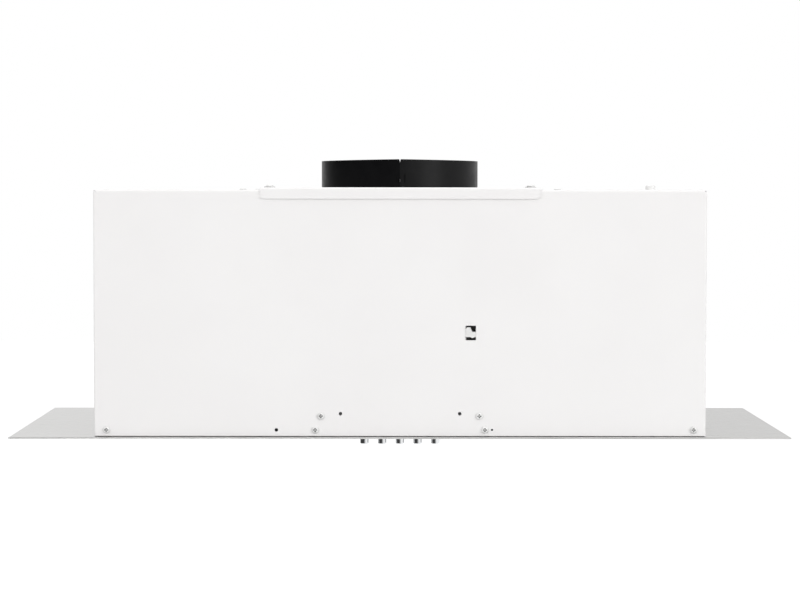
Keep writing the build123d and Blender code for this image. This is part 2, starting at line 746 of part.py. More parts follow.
def collar_groove(x0, x1, rise):
    """Shallow groove beside the front seam, in front of the damper rod."""
    front = collar_y - COLLAR_R
    return block(x0, x1, front - OVERRUN, front + GROOVE_DEPTH, rod_z - GROOVE_DROP, rod_z + rise)


def damper_rod():
    """Steel rod across the collar that both flaps turn on."""
    reach = COLLAR_R - ROD_END_SKIN - ROD_END_GAP
    return rod_along_y(0, rod_z, collar_y - reach, collar_y + reach, ROD_R)


def knuckle_spans(first):
    """Every second stretch of the rod, taken by the knuckles of one flap."""
    reach = collar_in - ROD_BOSS_T - 2 * FLAP_EDGE_GAP
    pitch = 2 * reach / KNUCKLES
    starts = [collar_y - reach + i * pitch for i in range(first, KNUCKLES, 2)]
    return [(y + KNUCKLE_GAP / 2, y + pitch - KNUCKLE_GAP / 2) for y in starts]


def damper_flap(side, first_knuckle):
    """Half-round flap that closes one side of the collar, with knuckles and stiffening ribs."""
    bottom = ledge_z + LEDGE_T + FLAP_REST_GAP
    top = bottom + FLAP_T
    rib_top = top + FLAP_RIB_H
    outer = collar_in - FLAP_EDGE_GAP
    edge = KNUCKLE_R + FLAP_ROD_GAP
    reach = outer + OVERRUN
    disc = collar_rod(bottom, top, outer)
    disc &= block(edge, reach, collar_y - reach, collar_y + reach, bottom, top)
    ribs = collar_rod(bottom, rib_top, outer) - collar_rod(bottom, rib_top, outer - FLAP_RIB_T)
    spoke = block(0, outer - FLAP_RIB_T / 2, -FLAP_RIB_T / 2, FLAP_RIB_T / 2, bottom, rib_top)
    for angle in (-FLAP_RIB_ANGLE, 0, FLAP_RIB_ANGLE):
        ribs += Pos(0, collar_y, 0) * Rot(0, 0, angle) * spoke
    ribs &= block(FLAP_RIB_START, reach, collar_y - reach, collar_y + reach, bottom, rib_top)
    flap = disc + ribs
    boss = ROD_BOSS_W / 2 + FLAP_EDGE_GAP
    end = collar_in - ROD_BOSS_T - FLAP_EDGE_GAP
    for way in (-1, 1):
        y0, y1 = sorted((collar_y + way * end, collar_y + way * reach))
        flap -= block(0, boss, y0, y1, bottom - OVERRUN, rib_top + OVERRUN)
    if side < 0:
        flap = mirrored(flap)
    for y0, y1 in knuckle_spans(first_knuckle):
        x0, x1 = sorted((0, side * (edge + FLAP_T)))
        flap += block(x0, x1, y0, y1, bottom, top)
        flap += rod_along_y(0, rod_z, y0, y1, KNUCKLE_R)
    return flap - rod_along_y(0, rod_z, collar_y - outer, collar_y + outer, ROD_R + ROD_RUN_GAP)


# Blower

def volute_outline(grow):
    """Volute of four arcs with its throat, closed at the deck, grown outward by a sheet or a seam."""
    h = VOLUTE_STEP / 2
    radius = [volute_r - i * VOLUTE_STEP for i in range(VOLUTE_ARCS)]
    centre = [(fan_y + h, fan_z + h), (fan_y + h, fan_z - h), (fan_y - h, fan_z - h), (fan_y - h, fan_z + h)]
    spiral = [CenterArc(centre[i], radius[i] + grow, -90 * i, -90) for i in range(3)]
    spiral.append(CenterArc(centre[3], radius[3] + grow, 90, TONGUE_ANGLE - 90))
    reach = radius[3] + TONGUE_R
    tongue_centre = (centre[3][0] + reach * cos(radians(TONGUE_ANGLE)),
                     centre[3][1] + reach * sin(radians(TONGUE_ANGLE)))
    sweep = 180 + THROAT_LEAN - TONGUE_ANGLE
    tongue = CenterArc(tongue_centre, TONGUE_R - grow, 180 + TONGUE_ANGLE, sweep)
    start = tongue @ 1
    lip = (start.X - (deck_under - start.Y) * tan(radians(THROAT_LEAN)), deck_under)
    back = centre[0][0] + radius[0] + grow
    walls = [Line(start, lip), Line(lip, (back, deck_under)), Line((back, deck_under), (back, centre[0][1]))]
    return make_face([*spiral, tongue, *walls])


def scroll_band():
    """Curved wall of the volute and its throat."""
    sheet = volute_outline(VOLUTE_SHEET) - volute_outline(0)
    return extrude(SIDE_VIEW * sheet, amount=CHEEK_X, both=True)


def scroll_cheek():
    """Right side plate of the volute with its bell mouth."""
    plate = Pos(CHEEK_X, 0, 0) * extrude(SIDE_VIEW * volute_outline(VOLUTE_SEAM), amount=CHEEK_SHEET)
    plate -= fan_rod(CHEEK_X - OVERRUN, cheek_face + OVERRUN, mouth_r + MOUTH_BEND)
    x, r = cheek_face - MOUTH_BEND, mouth_r + MOUTH_BEND
    outer_end, inner_end = x + MOUTH_BEND, x + MOUTH_BEND - CHEEK_SHEET
    seam = r + CHEEK_SHEET
    mouth = make_face([
        CenterArc((x, r), MOUTH_BEND, -90, 90),
        Polyline((outer_end, r), (outer_end, seam), (inner_end, seam), (inner_end, r)),
        CenterArc((x, r), MOUTH_BEND - CHEEK_SHEET, 0, -90),
        Line((x, mouth_r + CHEEK_SHEET), (x, mouth_r)),
    ])
    return plate + revolve(FAN_SECTION * mouth, axis=FAN_AXIS, revolution_arc=360)


def drilled_cheek(cheek):
    """Left side plate, with the holes for the motor bracket's bolts."""
    for i in range(SPIDER_ARMS):
        cheek -= spider_bolt(i, -cheek_face - OVERRUN, -CHEEK_X + OVERRUN, BOLT_R + SCREW_HOLE_GAP)
    return cheek


def blower_deck():
    """Plate under the roof that the volute hangs from. Its opening is the throat."""
    deck = block(-DECK_W / 2, DECK_W / 2, case_front + DECK_EDGE, case_back - DECK_EDGE,
                 deck_under, roof_under)
    top_edge = volute_outline(0).edges().sort_by(Axis.Y)[-1]
    ends = sorted(vertex.X for vertex in top_edge.vertices())
    deck -= block(-CHEEK_X, CHEEK_X, *ends, deck_under - OVERRUN, roof_under + OVERRUN)
    return rivet_holes(plate_stack_holes(deck))


def impeller():
    """Double-inlet wheel: forward-curved blades, middle disc, end rings and hub."""
    centre = (blade_mid_r, BLADE_BEND - BLADE_T)
    first = -90 - BLADE_SWEEP / 2
    curve_out = CenterArc(centre, BLADE_BEND + BLADE_T / 2, first, BLADE_SWEEP)
    curve_in = CenterArc(centre, BLADE_BEND - BLADE_T / 2, first + BLADE_SWEEP, -BLADE_SWEEP)
    blade = make_face([curve_out, Line(curve_out @ 1, curve_in @ 0), curve_in,
                       Line(curve_in @ 1, curve_out @ 0)])
    section = Plane(origin=(-wheel_half, fan_y, fan_z), x_dir=(0, 1, 0), z_dir=(1, 0, 0))
    one = extrude(section * blade, amount=2 * wheel_half)
    blades = [one.rotate(FAN_AXIS, 360 * i / BLADES) for i in range(BLADES)]
    bore = SHAFT_R + SHAFT_GAP / 2
    wheel = fan_ring(-WHEEL_DISC, WHEEL_DISC, bore, wheel_r) + fan_ring(0, HUB_L, bore, HUB_R)
    for side in (-1, 1):
        x0, x1 = sorted((side * (wheel_half - WHEEL_RING_T), side * wheel_half))
        wheel += fan_ring(x0, x1, ring_in, wheel_r)
    return wheel.fuse(*blades)


def wheel_nut():
    """Hexagonal nut that holds the wheel on the shaft."""
    hexagon = RegularPolygon(NUT_R, 6) - Circle(SHAFT_R + SHAFT_GAP / 2)
    place = Plane(origin=(HUB_L, fan_y, fan_z), x_dir=(0, 1, 0), z_dir=(1, 0, 0))
    return extrude(place * hexagon, amount=NUT_H)


def motor():
    """Capacitor motor inside the left half of the wheel."""
    can = fan_rod(motor_back, -MOTOR_NOSE, motor_r)
    can = chamfer(can.edges().filter_by(GeomType.CIRCLE), MOTOR_EDGE)
    can += fan_rod(-MOTOR_NOSE - OVERRUN, -MOTOR_NOSE + MOTOR_BOSS_H, HUB_R + MOTOR_BOSS_W)
    return can - fan_rod(motor_back - OVERRUN, 0, SHAFT_R + SHAFT_GAP)


def motor_shaft():
    return fan_rod(motor_back, shaft_end, SHAFT_R)


def spider_place(index):
    """Turned place of one of the motor bracket's arms."""
    return Pos(0, fan_y, fan_z) * Rot(90 + 360 * index / SPIDER_ARMS, 0, 0)


def spider_bolt(index, x0, x1, radius):
    """Cylinder along X at the bolt position of one arm."""
    return spider_place(index) * rod_along_x(spider_bolt_r, 0, x0, x1, radius)


def motor_bracket():
    """Three-armed bracket that carries the motor on the left side plate."""
    x0, x1 = spider_face - SPIDER_T, spider_face
    bracket = fan_rod(x0, motor_back, SPIDER_HUB_R)
    arm = block(x0, x1, 0, spider_bolt_r, -SPIDER_ARM_W / 2, SPIDER_ARM_W / 2)
    arm += rod_along_x(spider_bolt_r, 0, x0, x1, SPIDER_ARM_W / 2)
    for i in range(SPIDER_ARMS):
        bracket += spider_place(i) * arm
    for i in range(SPIDER_ARMS):
        bracket -= spider_bolt(i, x0 - OVERRUN, x1 + OVERRUN, BOLT_R + SCREW_HOLE_GAP)
    return bracket


def bracket_bushes():
    """Rubber bushes between the bracket's arms and the side plate."""
    bushes = []
    for i in range(SPIDER_ARMS):
        bush = spider_bolt(i, spider_face, -cheek_face, BUSH_R)
        bushes.append(bush - spider_bolt(i, spider_face - OVERRUN, 0, BOLT_R + SCREW_HOLE_GAP))
    return group(bushes)


def bracket_bolts():
    """Bolts through arm, bush and side plate, each with its nut inside the volute."""
    bolts = []
    outside = spider_face - SPIDER_T
    for i in range(SPIDER_ARMS):
        bolt = spider_bolt(i, outside - BOLT_HEAD_H, outside, BOLT_HEAD_R)
        bolt += spider_bolt(i, outside, -CHEEK_X + BOLT_TAIL, BOLT_R)
        bolts.append(bolt)
    return group(bolts)


def inlet_guard():
    """Finger guard over the right inlet: rings joined by bars."""
    x0, x1 = cheek_face + GUARD_H - GUARD_T, cheek_face + GUARD_H
    step = guard_rim / (GUARD_RINGS + 1)
    guard = fan_ring(cheek_face, x1, guard_rim, guard_rim + GUARD_BAR)
    for i in range(GUARD_RINGS):
        radius = (i + 1) * step
        guard += fan_ring(x0, x1, radius, radius + GUARD_BAR)
    bar = block(x0, x1, step + GUARD_BAR / 2, guard_rim + GUARD_BAR / 2, -GUARD_BAR / 2, GUARD_BAR / 2)
    for i in range(GUARD_BARS):
        guard += Pos(0, fan_y, fan_z) * Rot(360 * (i + 0.5) / GUARD_BARS, 0, 0) * bar
    return guard


def capacitor_rod(x0, x1, radius):
    """Cylinder on the capacitor's axis, which hangs by its strap below the deck."""
    z = deck_under - STRAP_T - CAPACITOR_R
    return rod_along_x(capacitor_y, z, capacitor_x + x0, capacitor_x + x1, radius)


def run_capacitor():
    can = capacitor_rod(-CAPACITOR_L / 2, CAPACITOR_L / 2, CAPACITOR_R)
    return chamfer(can.edges().filter_by(GeomType.CIRCLE), CAPACITOR_EDGE)


def capacitor_strap():
    """Strap round the capacitor, with a foot against the deck."""
    half = STRAP_W / 2
    strap = capacitor_rod(-half, half, CAPACITOR_R + STRAP_T)
    foot_y = capacitor_y - CAPACITOR_R - STRAP_FOOT
    strap += block(capacitor_x - half, capacitor_x + half, foot_y, capacitor_y,
                   deck_under - STRAP_T, deck_under)
    return strap - capacitor_rod(-half - OVERRUN, half + OVERRUN, CAPACITOR_R + SEAT_GAP)


# Controls and lamps

def push_button(x):
    """Chromed cap on a stem whose foot is held inside the switch."""
    cap = rod_along_z(x, button_y, BUTTON_TIP, BUTTON_SHOULDER, BUTTON_R)
    cap = chamfer(cap.edges().sort_by(Axis.Z)[0], BUTTON_EDGE)
    foot_z = switch_bottom + SWITCH_FLOOR + SWITCH_RUN_GAP
    foot_top = foot_z + BUTTON_FOOT_T
    stem = rod_along_z(x, button_y, BUTTON_SHOULDER, foot_top, BUTTON_STEM_R)
    return cap + stem + rod_along_z(x, button_y, foot_z, foot_top, BUTTON_FOOT_R)


def switch_bank():
    """Switch body with a stepped well for each button."""
    half = button_xs()[-1] + SWITCH_END
    body = block(-half, half, button_y - SWITCH_D / 2, button_y + SWITCH_D / 2, switch_bottom, switch_top)
    body = chamfer(body.edges().filter_by(Axis.Z), SWITCH_CORNER)
    floor = switch_bottom + SWITCH_FLOOR
    well_top = floor + SWITCH_RUN_GAP + BUTTON_FOOT_T + BUTTON_TRAVEL + SWITCH_WELL_GAP
    for x in button_xs():
        stem_r, foot_r = BUTTON_STEM_R + SWITCH_RUN_GAP, BUTTON_FOOT_R + SWITCH_RUN_GAP
        body -= rod_along_z(x, button_y, switch_bottom - OVERRUN, floor, stem_r)
        body -= rod_along_z(x, button_y, floor, well_top, foot_r)
    return body


def switch_bracket():
    """Angle bracket on the front wall that carries the switch."""
    half = BRACKET_SCREW_X + BRACKET_SCREW_EDGE
    shelf = button_xs()[-1] + SWITCH_END + BRACKET_MARGIN
    top = switch_top + FRAME_SHEET
    wall_y = case_inside + FRAME_SHEET
    bracket = block(-half, half, case_inside, wall_y, BRACKET_BOTTOM, top)
    shelf_y = button_y + SWITCH_D / 2 + BRACKET_MARGIN
    bracket += block(-shelf, shelf, case_inside, shelf_y, switch_top, top)
    through = (case_inside - OVERRUN, wall_y + OVERRUN)
    for side in (-1, 1):
        bracket -= rod_along_y(side * BRACKET_SCREW_X, BRACKET_SCREW_Z, *through, SCREW_R + SCREW_HOLE_GAP)
        bracket -= rod_along_y(side * SPARE_HIGH_X, SPARE_HIGH_Z, *through, SPARE_HOLE_R)
    return bracket


def lamp_rod(z0, z1, radius):
    return rod_along_z(lamp_x, lamp_y, z0, z1, radius)


def lamp_bezel():
    """Right lamp: trim ring below the tray and body above it."""
    face = tray_under - LAMP_BEZEL_T
    bezel = lamp_rod(face, tray_under, LAMP_BEZEL_R)
    bezel = chamfer(bezel.edges().sort_by(Axis.Z)[0], LAMP_BEZEL_EDGE)
    bezel += lamp_rod(face, LAMP_BODY_TOP, LAMP_BODY_R)
    lens_top = face + LAMP_LENS_T
    bezel -= lamp_rod(face - OVERRUN, lens_top, LAMP_LENS_R)
    return bezel - lamp_rod(face, LAMP_BODY_TOP - LAMP_WALL, LAMP_LENS_R - LAMP_WALL)


def lamp_lens():
    """Frosted disc of the right lamp."""
    face = tray_under - LAMP_BEZEL_T
    lens = lamp_rod(face, face + LAMP_LENS_T, LAMP_LENS_R - SEAT_GAP)
    return chamfer(lens.edges().sort_by(Axis.Z)[0], LAMP_LENS_EDGE)


def lamp_clip():
    """Bent spring strip that pulls the right lamp up against the tray."""
    t = LAMP_CLIP_T
    foot = LAMP_BODY_R + LAMP_CLIP_SPAN
    knee = foot - LAMP_CLIP_KNEE
    path = Polyline((-foot, t / 2), (-knee, LAMP_BODY_TOP + t / 2), (knee, LAMP_BODY_TOP + t / 2),
                    (foot, t / 2))
    strip = extrude(Plane.XZ * trace(path, t), amount=LAMP_CLIP_W / 2, both=True)
    return Pos(lamp_x, lamp_y, 0) * strip


# Grease filters, drawn for the right side

def lug_xs():
    return (filter_x0 + LUG_INSET, filter_x1 - LUG_INSET)


def filter_frame():
    """Aluminium channel frame with the latch pocket in front and two hinge lugs behind."""
    wall, skin, border = FILTER_WALL, FILTER_SKIN, FILTER_BORDER
    width, depth = filter_x1 - filter_x0, filter_back - filter_front
    outline = Rectangle(width, depth)
    pocket = Pos(0, (POCKET_D - depth) / 2) * Rectangle(POCKET_W, POCKET_D)
    window = offset(outline, -border, kind=Kind.INTERSECTION) - pocket
    hollow = offset(outline, -wall, kind=Kind.INTERSECTION)
    inner_pocket = offset(pocket, -wall, kind=Kind.INTERSECTION)
    frame = extrude(outline - window, FILTER_H)
    hidden = hollow - (pocket - inner_pocket)
    frame -= Pos(0, 0, skin) * extrude(hidden, FILTER_H - 2 * skin)
    frame = Pos(filter_mid_x, (filter_front + filter_back) / 2, filter_bottom) * frame
    half = GRIP_W / 2 + LATCH_GAP
    grip_y = latch_front + GRIP_SETBACK
    frame -= block(filter_mid_x - half, filter_mid_x + half,
                   grip_y - LATCH_GAP, grip_y + GRIP_D + LATCH_TRAVEL + LATCH_GAP,
                   filter_bottom - OVERRUN, filter_bottom + 2 * skin)
    half = TONGUE_W / 2 + LATCH_GAP
    frame -= block(filter_mid_x - half, filter_mid_x + half, filter_front - OVERRUN, filter_front + 2 * wall,
                   tongue_z - LATCH_GAP, tongue_z + TONGUE_T + LATCH_GAP)
    for x in lug_xs():
        frame += block(x - LUG_W / 2, x + LUG_W / 2, filter_back - wall, lug_y,
                       lug_z - LUG_T / 2, lug_z + LUG_T / 2)
        frame += rod_along_x(lug_y, lug_z, x - LUG_BAR_L / 2, x + LUG_BAR_L / 2, LUG_BAR_R)
    return frame


def filter_latch():
    """Sliding latch: slab in the pocket, finger cup in the window, tongue out through the wall."""
    z0, z1 = filter_bottom + FILTER_SKIN + LATCH_GAP, filter_top - FILTER_SKIN - LATCH_GAP
    half = LATCH_W / 2
    latch = block(filter_mid_x - half, filter_mid_x + half, latch_front, latch_front + LATCH_D, z0, z1)
    half = GRIP_W / 2
    y0 = latch_front + GRIP_SETBACK
    y1 = y0 + GRIP_D
    latch += block(filter_mid_x - half, filter_mid_x + half, y0, y1, filter_bottom, z1)
    cup = block(filter_mid_x - half + GRIP_WALL, filter_mid_x + half - GRIP_WALL, y0 + GRIP_WALL,
                y1 - GRIP_WALL, filter_bottom - OVERRUN, z1 - GRIP_WALL)
    latch -= fillet(cup.edges().filter_by(Axis.Z), GRIP_WALL)
    half = TONGUE_W / 2
    tongue = block(filter_mid_x - half, filter_mid_x + half, filter_front - TONGUE_REACH,
                   latch_front + GRIP_SETBACK, tongue_z, tongue_z + TONGUE_T)
    nose = tongue.edges().filter_by(Axis.X).group_by(Axis.Y)[0].sort_by(Axis.Z)[0]
    return latch + chamfer(nose, TONGUE_NOSE)


def latch_spring():
    """Bowed leaf spring between the latch and the back of its pocket."""
    crown = latch_front + LATCH_D + SEAT_GAP
    foot = filter_front + POCKET_D - FILTER_WALL - SEAT_GAP
    half = SPRING_SPAN / 2
    back = ThreePointArc((-half, foot), (0, crown + SPRING_T), (half, foot))
    front = ThreePointArc((half, foot - SPRING_T), (0, crown), (-half, foot - SPRING_T))
    leaf = make_face([back, Line(back @ 1, front @ 0), front, Line(front @ 1, back @ 0)])
    middle = (filter_bottom + filter_top - SPRING_BAND) / 2
    return Pos(filter_mid_x, 0, middle) * extrude(leaf, amount=SPRING_BAND)


def catch_spring():
    """Leaf spring on the tray whose raised end holds up the latch tongue."""
    t = CATCH_T
    tip = filter_front - TONGUE_REACH + CATCH_BITE
    knee = opening_front - CATCH_NOTCH_D
    path = Polyline((tip - CATCH_L, t / 2), (knee - t, t / 2), (knee + t, 1.5 * t), (tip, 1.5 * t))
    leaf = extrude(SIDE_VIEW * trace(path, t), amount=CATCH_W / 2, both=True)
    return Pos(filter_mid_x, 0, 0) * leaf


def filling_outline():
    """Outline of what fills the filter frame, with room for the latch pocket."""
    inset = FILTER_WALL + FILTER_FILL_GAP
    width, depth = filter_x1 - filter_x0, filter_back - filter_front
    pocket = Rectangle(POCKET_W + 2 * FILTER_FILL_GAP, 2 * (POCKET_D + FILTER_FILL_GAP))
    return Rectangle(width - 2 * inset, depth - 2 * inset) - Pos(0, -depth / 2) * pocket


def filter_net():
    """Lower retaining net of the filter: rows of staggered diamond gaps in a flat sheet."""
    width, depth = filter_x1 - filter_x0, filter_back - filter_front
    border = FILTER_BORDER + NET_EDGE
    step_x = (width - 2 * border) / NET_COLUMNS
    step_y = (depth - 2 * border) / NET_ROWS
    gap_x, gap_y = step_x / 2 - NET_STRAND, step_y / 2 - NET_STRAND_ACROSS
    diamond = make_face(Polyline((-gap_x, 0), (0, -gap_y), (gap_x, 0), (0, gap_y), close=True))
    gaps = []
    for row in range(2 * NET_ROWS - 1):
        stagger = row % 2
        y = border - depth / 2 + (row + 1) * step_y / 2
        for column in range(NET_COLUMNS - stagger):
            x = border - width / 2 + (column + 0.5 + 0.5 * stagger) * step_x
            beside = abs(x) > POCKET_W / 2 + gap_x + NET_STRAND
            if beside or y - gap_y > POCKET_D + NET_STRAND - depth / 2:
                gaps.append(Pos(x, y) * diamond)
    net = extrude(filling_outline() - gaps, NET_T)
    return Pos(filter_mid_x, (filter_front + filter_back) / 2, filter_bottom + FILTER_SKIN) * net


def filter_pad():
    """Layers of knitted mesh above the net, taken together."""
    z0 = filter_bottom + FILTER_SKIN + NET_T
    pad = extrude(filling_outline(), filter_top - FILTER_SKIN - z0)
    return Pos(filter_mid_x, (filter_front + filter_back) / 2, z0) * pad


# Control box and cable gland

def control_plate(y, depth, inset):
    """Rounded slab of the control box's outline, from y towards the back."""
    width, height = CONTROL_W - 2 * inset, CONTROL_H - 2 * inset
    middle = Pos(control_x0 + CONTROL_W / 2, control_z0 + CONTROL_H / 2)
    outline = middle * RectangleRounded(width, height, CONTROL_R - inset)
    return Pos(0, y + depth, 0) * extrude(Plane.XZ * outline, amount=depth)


def control_box():
    """Plastic box on the inside of the front wall. Its snap hook shows in the wall's window."""
    wall = CONTROL_WALL
    box = control_plate(control_y0, CONTROL_D, 0)
    box -= control_plate(control_y0 + wall, CONTROL_D, wall)
    opening = Pos(window_x, WINDOW_Z) * RectangleRounded(WINDOW_W, WINDOW_H, WINDOW_R)
    box -= Pos(0, control_y0 + wall + OVERRUN, 0) * extrude(Plane.XZ * opening, amount=wall + 2 * OVERRUN)
    return box + hook(0, control_y0, control_y0 + wall) + hook(HOOK_GAP, case_front + HOOK_GAP, control_y0)


def hook(gap, y0, y1):
    """Stepped snap hook across the window, kept off the window's sides by a gap."""
    left, right = window_x - WINDOW_W / 2 + gap, window_x + WINDOW_W / 2 - gap
    base, x0 = WINDOW_Z - WINDOW_H / 2, window_x - WINDOW_W / 2
    low, shelf, top = base + HOOK_LOW, base + HOOK_SHELF, base + HOOK_TOP
    bump = Polyline((left, low), (x0 + HOOK_NOSE, low), (x0 + HOOK_STEP, low - HOOK_BUMP),
                    (x0 + HOOK_STEP + 2 * HOOK_BUMP, low), (right, low))
    rest = Polyline((right, low), (right, shelf), (x0 + HOOK_STEP, shelf), (x0 + HOOK_NOSE, top),
                    (left + HOOK_CORNER, top))
    corner = Line((left + HOOK_CORNER, top), (left, top - HOOK_CORNER))
    face = make_face([bump, rest, corner, Line((left, top - HOOK_CORNER), (left, low))])
    return Pos(0, y1, 0) * extrude(Plane.XZ * face, amount=y1 - y0)


def control_lid():
    """Lid on the back of the control box."""
    return control_plate(control_y0 + CONTROL_D, CONTROL_LID_T, 0)


def gland_rod(z0, z1, radius):
    return rod_along_z(gland_x, gland_y, z0, z1, radius)


def cable_gland():
    """Strain-relief bush of the mains cable in the roof, a little wider inside at its lower end."""
    top, bottom = roof_top + GLAND_H, roof_under - GLAND_FLANGE_T
    bush = gland_rod(roof_top, top, GLAND_R)
    bush = chamfer(bush.edges().sort_by(Axis.Z)[-1], GLAND_EDGE)
    bush += gland_rod(roof_under, roof_top, GLAND_R - GLAND_NECK - SEAT_GAP)
    bush += gland_rod(bottom, roof_under, GLAND_FLANGE_R)
    bush -= gland_rod(bottom - OVERRUN, roof_top + GLAND_ENTRY_RISE, GLAND_ENTRY_R)
    return bush - gland_rod(roof_top, top + OVERRUN, GLAND_BORE_R)


# Every node, those that come as a right and a left one first
both_sides = {
    "end_panel": end_panel(),
    "lamp_bezel": lamp_bezel(),
    "lamp_lens": lamp_lens(),
    "lamp_clip": lamp_clip(),
    "filter_frame": filter_frame(),
    "filter_latch": filter_latch(),
    "latch_spring": latch_spring(),
    "catch_spring": catch_spring(),
    "filter_net": filter_net(),
    "filter_pad": filter_pad(),
}
for name, shape in both_sides.items():
    write(f"{name}_right", shape)
    write(f"{name}_left", mirrored(shape))

right_cheek = scroll_cheek()
write("scroll_cheek_right", right_cheek)
write("scroll_cheek_left", drilled_cheek(mirrored(right_cheek)))
right_half = collar_half(collar_ring())
write("collar_half_right", right_half - collar_groove(*RIGHT_GROOVE))
write("collar_half_left", mirrored(right_half) - collar_groove(*LEFT_GROOVE))
write("damper_flap_right", damper_flap(1, 1))
write("damper_flap_left", damper_flap(-1, 0))
for name, x in zip(BUTTON_NAMES, button_xs()):
    write(f"button_{name}", push_button(x))

single = {
    "front_wall": front_wall(),
    "roof_panel": roof_panel(),
    "back_wall": back_wall(),
    "mounting_frame": mounting_frame(),
    "underside_tray": underside_tray(),
    "casing_screws": casing_screws(),
    "motor_plate": motor_plate(),
    "plate_gasket": plate_gasket(),
    "plate_screws": plate_screws(),
    "deck_rivets": deck_rivets(),
    "damper_rod": damper_rod(),
    "scroll_band": scroll_band(),
    "blower_deck": blower_deck(),
    "impeller": impeller(),
    "wheel_nut": wheel_nut(),
    "motor": motor(),
    "motor_shaft": motor_shaft(),
    "motor_bracket": motor_bracket(),
    "bracket_bushes": bracket_bushes(),
    "bracket_bolts": bracket_bolts(),
    "inlet_guard": inlet_guard(),
    "run_capacitor": run_capacitor(),
    "capacitor_strap": capacitor_strap(),
    "switch_bank": switch_bank(),
    "switch_bracket": switch_bracket(),
    "control_box": control_box(),
    "control_lid": control_lid(),
    "cable_gland": cable_gland(),
}
for name, shape in single.items():
    write(name, shape)
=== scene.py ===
# Built-in range hood: finishes, filter mesh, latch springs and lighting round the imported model,
# in metres, +Z up
import itertools
import json
import math
import random

import bpy
from mathutils import Matrix, Vector


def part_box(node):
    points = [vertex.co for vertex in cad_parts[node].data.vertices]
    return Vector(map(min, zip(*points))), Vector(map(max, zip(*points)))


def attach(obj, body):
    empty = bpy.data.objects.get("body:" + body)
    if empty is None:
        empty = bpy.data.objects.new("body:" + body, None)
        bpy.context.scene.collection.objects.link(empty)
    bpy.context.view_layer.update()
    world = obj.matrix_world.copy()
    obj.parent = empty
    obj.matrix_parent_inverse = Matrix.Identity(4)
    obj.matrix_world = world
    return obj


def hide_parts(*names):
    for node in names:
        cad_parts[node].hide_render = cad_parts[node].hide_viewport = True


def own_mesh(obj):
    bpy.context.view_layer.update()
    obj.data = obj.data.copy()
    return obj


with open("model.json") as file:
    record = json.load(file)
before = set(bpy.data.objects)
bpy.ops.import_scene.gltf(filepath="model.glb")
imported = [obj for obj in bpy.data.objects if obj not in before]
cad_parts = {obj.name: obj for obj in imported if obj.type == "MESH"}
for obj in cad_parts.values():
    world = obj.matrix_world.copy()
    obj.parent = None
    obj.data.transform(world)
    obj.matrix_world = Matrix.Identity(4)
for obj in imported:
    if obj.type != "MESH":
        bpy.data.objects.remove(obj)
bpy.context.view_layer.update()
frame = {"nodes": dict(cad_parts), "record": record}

# Camera, fitted to the edges of the photograph
IMAGE_W = 800
FOCAL_PX = 2353
SENSOR_W = 36.0
CAMERA_AT = Vector((-0.0079, -2.2396, 0.2192))
CAMERA_YAW = math.radians(-0.211)
CAMERA_DOWN = math.radians(2.633)
CAMERA_ROLL = math.radians(0.053)
CLIP_NEAR, CLIP_FAR = 0.05, 60.0

# Room: the light on matt surfaces, and how bright polish shows the room, from the dark side behind
# the camera's left shoulder to the white backdrop. The grades are spans along the bright way, of
# directions in the room and of places on the floor. Towards the right the room is dimmer.
WORLD_LIGHT = 0.58
BRIGHT_WAY = Vector((0.88, 0.45, 0.15))
DARK_SIDE = 0.05
ROOM_GRADE = (-0.7, 0.1)
FLOOR_GRADE = (-3.5, 0.5)
DIM_SIDE = 0.86
DIM_TURN = 0.12
FLOOR_Z = -0.5
FLOOR_SIZE = 18.0
FLOOR_GLOW = 0.7

# Softboxes that face the casing: place, width, height, watts, and whether polish shows them
CASING_MIDDLE = (0, 0, 0.1)
SOFTBOXES = {
    "key_right": ((2.6, -2.4, 1.3), 1.6, 2.2, 49, True),
    "fill_left": ((-2.4, -2.6, 1.1), 1.6, 2.2, 39, False),
    "top": ((0, -0.4, 2.8), 2.6, 2.2, 22, False),
}

# Weak lamp for the left half of the hem, just below the level of the tray
HEM_LAMP_AT = (-0.52, -2.6, -0.035)
HEM_LAMP_AIM = (-0.2, -0.145, -0.035)
HEM_LAMP_W, HEM_LAMP_H = 0.85, 0.05
HEM_LAMP_POWER = 2.5

# The middle band of a noise, where nearly all of its values lie
NOISE_LOW, NOISE_HIGH = 0.35, 0.65

# Painted shade: near black laid into crevices, and grey laid inside the casing, the room between
# the middles of its sheets
CREVICE_SHADE = (0.02, 0.02, 0.02)
CREVICE_SAMPLES = 8
INSIDE_SHADE = (0.24, 0.245, 0.25)
CORE_CENTRE = (0, -0.003, 0.11)
CORE_HALF = (0.2728, 0.1356, 0.11)

# Crimped sheets of expanded aluminium in the filters, and the pocket of the latch that they leave
# free
MESH_SHEETS = 5
MESH_CELL = (0.0100, 0.0062)
MESH_STRAND = 0.0005
MESH_CRIMP = 0.0006
MESH_CRIMP_PITCH = 0.023
MESH_CRIMP_SLANT = 0.6
MESH_LOOSE = 0.0003
POCKET_W = 0.0664
POCKET_D = 0.0272


# In the functions below a material can also be the world, as both hold a node tree

def put(material, socket, value):
    """Gives a shader input a constant, or links another node's output to it."""
    if isinstance(value, bpy.types.NodeSocket):
        material.node_tree.links.new(value, socket)
    elif socket.type == "RGBA":
        socket.default_value = (*value, 1.0)
    else:
        socket.default_value = value


def wire(material, kind, inputs=None, **attributes):
    """Adds a shader node, sets its attributes and fills its inputs."""
    node = material.node_tree.nodes.new(kind)
    for name, value in attributes.items():
        setattr(node, name, value)
    for key, value in (inputs or {}).items():
        put(material, node.inputs[key], value)
    return node


def calc(material, operation, first, second):
    """The result of an operation on two numbers, each a constant or a node's output."""
    inputs = {0: first, 1: second}
    return wire(material, "ShaderNodeMath", inputs, operation=operation).outputs[0]


